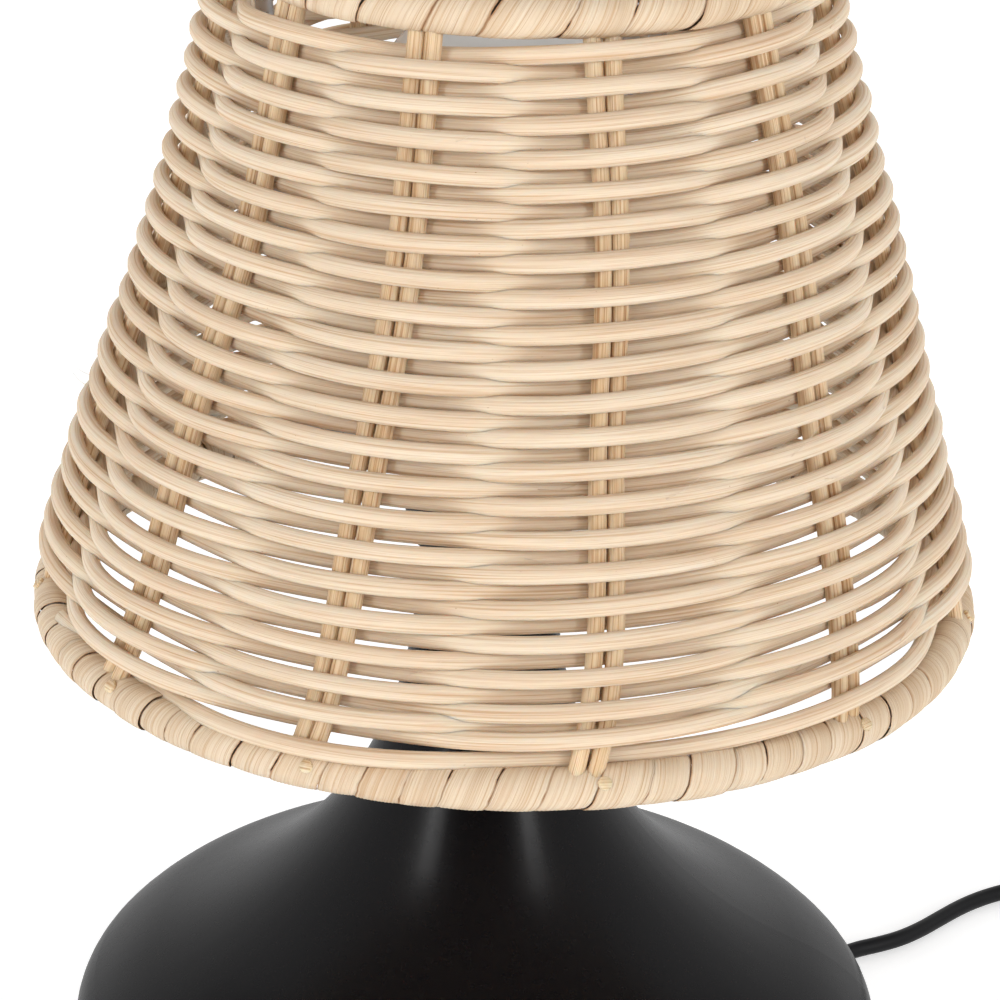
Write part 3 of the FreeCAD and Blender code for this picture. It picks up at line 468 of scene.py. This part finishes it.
FIRST_ROW, LAST_ROW = -1, 41
ROW_LOW = 159.95
ROW_PITCH = 3.455
ROW_TILT = 1.4
ROW_FOLLOW = 0.42
BOTTOM_LIFT = 1.6
TOP_SQUEEZE = 0.7
WEAVE_SWING = 3.65
WEAVE_FLAT = 0.75
WEAVE_RISE = 0.28
CANE_TALL, CANE_DEEP = 2.04, 1.82
ROW_STEPS = 176
WEAVER_COUNT = 8
SPLICE_OVERLAP = 0.006
SPLICE_TUCK, SPLICE_TUCK_TURNS = 3.4, 0.03
FIRST_TURN = math.radians(200)


def wall_bulge(z):
    """How far the weave stands out from a straight cone: fuller low down, drawn in near the top."""
    return 0.5 - np.tanh((z - WALL_BEND_HEIGHT) / WALL_BEND)


def wall_centre(z):
    """The x of the weave's middle at a height: it leans a little to one side above its middle."""
    return CAGE_SHIFT + WALL_LEAN * np.exp(-(((z - WALL_LEAN_HEIGHT) / WALL_LEAN_SPAN) ** 2))


def wall_radius(z):
    return CAGE_WIDE - SLOPE * (z - CAGE_LOW) + wall_bulge(z)


def wander(count, low, high):
    """A smooth random curve of one number, between about -1 and 1."""
    rates = RANDOM.uniform(low, high, count)
    starts = RANDOM.uniform(0, TAU, count)
    return lambda along: np.sin(np.multiply.outer(along, rates) + starts).sum(axis=-1) / math.sqrt(count)


def on_wall(angle, z, off=0.0):
    """A point at an angle and height, moved off the shade's wall by a distance straight outward."""
    reach = wall_radius(z) + off * math.cos(LEAN)
    height = z + off * math.sin(LEAN) + 0 * angle
    return np.stack([wall_centre(z) + reach * np.cos(angle), reach * np.sin(angle), height], axis=-1)


def wall_out(angle):
    """The direction straight out of the shade's wall."""
    flat, rise = math.cos(LEAN), math.sin(LEAN)
    return np.stack([flat * np.cos(angle), flat * np.sin(angle), np.full_like(angle, rise)], axis=-1)


ROW_DRIFT = [(2, 0.35, 0.3), (3, -0.28, 0.26), (5, 0.4, 0.22), (7, -0.5, 0.16)]
drift_starts = RANDOM.uniform(0, TAU, len(ROW_DRIFT))
row_jitter = wander(5, 2.0, 9.0)
swing_jitter = wander(4, 1.0, 5.0)
thickness = wander(5, 0.8, 6.0)


def pair_turn(angle, z):
    """How far a stake pair is turned round the shade from its even place, worked out in degrees: a slight
    twist, a lean that grows towards the bottom, a bow at mid height, and uneven spacing."""
    twice = 2 * (angle - PAIR_START)
    uneven = 1.9 * (1 - np.cos(twice)) + 1.1 * np.sin(twice)
    twist = 0.01 * (z - 215)
    lean = BOTTOM_LEAN * np.exp((BOTTOM_LEAN_HEIGHT - z) / BOTTOM_LEAN_SPAN)
    bow = BOW * np.exp(-(((z - BOW_HEIGHT) / BOW_SPAN) ** 2))
    return np.radians(twist - lean - bow + uneven)


def weave_line(turns):
    """The weavers' one spiral, at numbers of turns round the shade: its points, outs and thickness. It passes
    outside a stake pair and inside the next, and each row drifts and varies a little."""
    angle = FIRST_TURN + TAU * turns
    z = ROW_LOW + ROW_PITCH * turns + ROW_TILT * np.cos(angle)
    z = (
        z
        + BOTTOM_LIFT * np.exp(-((turns - 0.5) ** 2))
        - TOP_SQUEEZE * (turns / 40) ** 6
        + ROW_FOLLOW * wall_bulge(z)
    )
    phase = PAIRS / 2 * (angle - PAIR_START - pair_turn(angle, z))
    swing = -np.tanh(WEAVE_FLAT * np.cos(phase)) / math.tanh(WEAVE_FLAT)
    lift = sum(
        size * np.sin(rate * angle + slip * turns + start)
        for (rate, slip, size), start in zip(ROW_DRIFT, drift_starts)
    )
    z = z + WEAVE_RISE * swing + 0.3 * lift + 0.2 * row_jitter(angle)
    off = WEAVE_SWING * swing + 0.25 * swing_jitter(angle)
    return on_wall(angle, z, off), wall_out(angle), 1 + 0.035 * thickness(angle)


def add_weavers():
    """The round canes woven in one spiral among the stake pairs, in lengths spliced behind a pair."""
    share = (LAST_ROW - FIRST_ROW) / WEAVER_COUNT
    to_pair = (PAIR_START - FIRST_TURN) / TAU
    splices = [FIRST_ROW + number * share for number in range(1, WEAVER_COUNT)]
    splices = [to_pair + round((turns - to_pair) * PAIRS / 2) * 2 / PAIRS for turns in splices]
    starts = [FIRST_ROW] + [turns - SPLICE_OVERLAP for turns in splices]
    ends = [turns + SPLICE_OVERLAP for turns in splices] + [LAST_ROW]
    for number, (first, last) in enumerate(zip(starts, ends)):
        turns = np.linspace(first, last, int((last - first) * ROW_STEPS))
        line, out, thick = weave_line(turns)
        if number:
            tucked = np.clip(1 - (turns - first) / SPLICE_TUCK_TURNS, 0, 1)
            line = line - out * (SPLICE_TUCK * tucked)[:, None]
        piece = gather(f"weaver_{number + 1}", [sweep(line, out, CANE_TALL * thick, CANE_DEEP * thick)])
        dress(piece, "rattan")
        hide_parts("woven_wall")


def add_stakes():
    """The upright canes, in pairs, that the weavers go around."""
    rods = []
    for pair in range(PAIRS):
        angle = PAIR_START + TAU * pair / PAIRS
        for hand in (-0.5, 0.5):
            z = np.linspace(CAGE_LOW + 1, CAGE_HIGH + 1, 60)
            angles = angle + pair_turn(angle, z)
            sideways = np.stack([-np.sin(angles), np.cos(angles), 0 * z], axis=-1)
            sway = wander(3, 0.02, 0.09)
            apart = hand * STAKE_SPACING + 0.2 * sway(z)
            line = on_wall(angles, z, 0.25 * sway(z + 40)) + sideways * apart[:, None]
            thick = 1 + 0.03 * wander(3, 0.05, 0.2)(z)
            rods.append(sweep(line, wall_out(angles), STAKE_RADIUS * thick, STAKE_RADIUS * thick))
    piece = gather("stake_canes", rods)
    dress(piece, "rattan_stake")
    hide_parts("stakes")


def add_wrap(name, node, height, reach, turns, steps, ribs):
    """Split peel wound round a rim wire: ribbed turns side by side, which rise in one helix. A turn has so
    many steps round the rim and ribs across, and here and there a slit shows beside it."""
    across = 3 * ribs + 1
    sizes = RANDOM.uniform(0.8, 1.25, turns)
    edges = np.concatenate([[0], np.cumsum(sizes)]) / sizes.sum() * TAU
    lumps = wander(6, 2, 12)
    points, faces, uvs, start = [], [], [], 0
    for turn in range(turns):
        low, high = edges[turn], edges[turn + 1]
        gap_range = OPEN_GAP if RANDOM.random() < OPEN_CHANCE else CLOSED_GAP
        gap = RANDOM.uniform(*gap_range) / reach
        raise_by = RANDOM.uniform(-0.18, 0.18)
        tilt = RANDOM.uniform(-0.35, 0.35)
        ragged = [wander(4, 2, 11) for _ in range(2)]
        rib_phase = RANDOM.uniform(0, TAU)
        round_angle = np.linspace(-math.pi, math.pi, steps)
        part = np.linspace(0, 1, across)
        major = low + gap + (high - low - 2 * gap) * part[None, :]
        for edge, share in zip(ragged, ((1 - part) ** 12, part**12)):
            major = major + 0.12 / reach * edge(round_angle)[:, None] * share[None, :]
        major = major + ((high - low) * round_angle / TAU)[:, None]
        crown = 0.18 * (1 - (2 * part - 1) ** 4) + tilt * (part - 0.5)
        rib = 0.055 * np.cos(TAU * ribs * part + rib_phase) * (1 + 0.3 * np.sin(5 * part + rib_phase))
        small = RIM_RADIUS - 0.62 + raise_by + 0.18 * lumps(major) + crown[None, :] + rib[None, :]
        radial = reach + small * np.cos(round_angle)[:, None]
        z = height + small * np.sin(round_angle)[:, None]
        turn_points = np.stack([CAGE_SHIFT + radial * np.cos(major), radial * np.sin(major), z], axis=-1)
        points.append(turn_points.reshape(-1, 3))
        length = RIM_RADIUS * TAU * MM
        for i in range(steps - 1):
            for j in range(across - 1):
                corner = start + i * across + j
                faces.append((corner, corner + 1, corner + across + 1, corner + across))
                u0, u1 = (turn + i / (steps - 1)) * length, (turn + (i + 1) / (steps - 1)) * length
                uvs += [(u0, part[j]), (u0, part[j + 1]), (u1, part[j + 1]), (u1, part[j])]
        start += steps * across
    piece = build_mesh(name, np.concatenate(points), faces, uvs)
    dress(piece, "rattan_peel")
    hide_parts(node)


def add_stake_ends():
    """The cut ends of the stakes, which show as pale discs among the turns of the bottom rim."""
    rods = []
    for pair in range(PAIRS):
        angle = PAIR_START + TAU * pair / PAIRS
        angle += float(pair_turn(angle, CAGE_LOW)) + RANDOM.uniform(0.03, 0.06)
        rise = RANDOM.uniform(0.45, 0.75)
        level = np.array([math.cos(angle), math.sin(angle), 0])
        outward = level * math.cos(rise) + np.array([0, 0, math.sin(rise)])
        middle = level * CAGE_WIDE + np.array([CAGE_SHIFT, 0, CAGE_LOW])
        part = np.array([0.0, 0.4, 0.8, 0.94, 1.0])
        line = middle + outward * (RIM_RADIUS * 0.99 * part)[:, None]
        sideways = np.tile((-math.sin(angle), math.cos(angle), 0), (len(line), 1))
        size = STAKE_RADIUS * np.array([0.8, 0.8, 0.8, 0.8, 0.72])
        rods.append(sweep(line, sideways, size, size))
    piece = gather("stake_ends", rods)
    dress(piece, "rattan_stake")


def add_fibres():
    """Fine loose fibres that stand off the canes."""
    rods = []
    for _ in range(70):
        turns = RANDOM.uniform(0.5, LAST_ROW - 1)
        reach = RANDOM.uniform(0.006, 0.02)
        line, out, _ = weave_line(turns + reach * np.linspace(0, 1, 9))
        away = np.linspace(0, 1, 9)[:, None]
        line = line + out * (CANE_DEEP + 0.05 + RANDOM.uniform(0.3, 2.2) * away**1.5)
        line[:, 2:] += RANDOM.uniform(-7, 7) * away**1.3
        size = 0.085 * (1 - 0.75 * away[:, 0])
        rods.append(sweep(line, out, size, size, 5))
    piece = gather("loose_fibres", rods)
    dress(piece, "rattan")


add_weavers()
add_stakes()
add_stake_ends()
add_fibres()
add_wrap("bottom_rim_peel", "bottom_rim_wrap", CAGE_LOW, CAGE_WIDE, 73, 26, 12)
add_wrap("top_rim_peel", "top_rim_wrap", CAGE_HIGH, CAGE_NARROW, 30, 26, 14)

# ---------------------------------------------------------------- floor and light

SOFT_BOX = (1.2, 0.8)

def add_floor():
    """A white floor, just under the pad, that is dimmer in reflections."""
    mesh = bpy.data.meshes.new("floor")
    corners = [(-6, -6, 0), (6, -6, 0), (6, 6, 0), (-6, 6, 0)]
    mesh.from_pydata(corners, [], [(0, 1, 2, 3)])
    floor = bpy.data.objects.new("floor", mesh)
    floor.location.z = -0.0002
    material, tree, shader = new_material(
        "floor", Base_Color=(0.85, 0.85, 0.85, 1), Roughness=0.8,
        Emission_Color=(1, 1, 1, 1), Emission_Strength=0.5,
    )
    dim = add_node(tree, "Emission", Color=(1, 1, 1, 1), Strength=0.6)
    mirrored = add_node(tree, "LightPath").outputs["Is Glossy Ray"]
    mixed = add_node(tree, "MixShader", Fac=mirrored)
    tree.links.new(shader.outputs[0], mixed.inputs[1])
    tree.links.new(dim.outputs[0], mixed.inputs[2])
    tree.links.new(mixed.outputs[0], tree.nodes["Material Output"].inputs["Surface"])
    mesh.materials.append(material)
    scene.collection.objects.link(floor)


def add_light(name, place, size, power, mirrored=False):
    """A soft box of a width and height, facing the lamp; only a mirrored one shows in reflections."""
    light = bpy.data.lights.new(name, "AREA")
    light.shape = "RECTANGLE"
    light.size, light.size_y = size
    light.energy = power
    box = bpy.data.objects.new(name, light)
    box.location = place
    target = Vector((0, 0, 0.18 if mirrored else 0.2))
    box.rotation_euler = (target - Vector(place)).to_track_quat("-Z", "Y").to_euler()
    box.visible_glossy = mirrored
    scene.collection.objects.link(box)


def add_world():
    """A white studio: white behind the object, an even soft light, and in reflections pale walls at the
    sides and behind, with a dark front and ceiling."""
    world = bpy.data.worlds.new("studio")
    world.use_nodes = True
    tree = world.node_tree
    tree.nodes.clear()
    path = add_node(tree, "LightPath")
    direction = add_node(tree, "TexCoord").outputs["Generated"]
    split = add_node(tree, "SeparateXYZ", Vector=direction)
    sideways = add_node(tree, "Math", {"operation": "ABSOLUTE"}, Value=split.outputs["X"]).outputs[0]
    pale = add_node(tree, "Math", {"operation": "MAXIMUM"})
    tree.links.new(sideways, pale.inputs[0])
    tree.links.new(split.outputs["Y"], pale.inputs[1])
    surroundings = ramp(tree, pale.outputs[0], [(0.46, 0.03), (0.62, 0.9), (1.0, 1.0)])
    shader = add_node(tree, "Background", Color=(1, 1, 1, 1), Strength=0.34).outputs[0]
    for ray, colour, strength in (
        ("Is Glossy Ray", surroundings, 0.85),
        ("Is Camera Ray", (1, 1, 1, 1), 1.0),
    ):
        other = add_node(tree, "Background", Color=colour, Strength=strength)
        mixed = add_node(tree, "MixShader", Fac=path.outputs[ray])
        tree.links.new(shader, mixed.inputs[1])
        tree.links.new(other.outputs[0], mixed.inputs[2])
        shader = mixed.outputs[0]
    output = add_node(tree, "OutputWorld")
    tree.links.new(shader, output.inputs["Surface"])
    scene.world = world


add_floor()
add_world()
for side, hand in (("left", -1), ("right", 1)):
    add_light(f"key_{side}", (0.95 * hand, -1.0, 0.7), (0.26, 0.7), 5.8, mirrored=True)
    add_light(f"side_{side}", (1.5 * hand, -0.8, 0.75), SOFT_BOX, 4.6)
    add_light(f"back_{side}", (1.1 * hand, 1.4, 0.9), SOFT_BOX, 6)
add_light("front", (0, -1.7, 0.95), SOFT_BOX, 3)
add_light("top", (0, -0.2, 1.4), (1.2, 1.2), 0.6)
scene.view_settings.view_transform = "Standard"

bpy.context.view_layer.update()
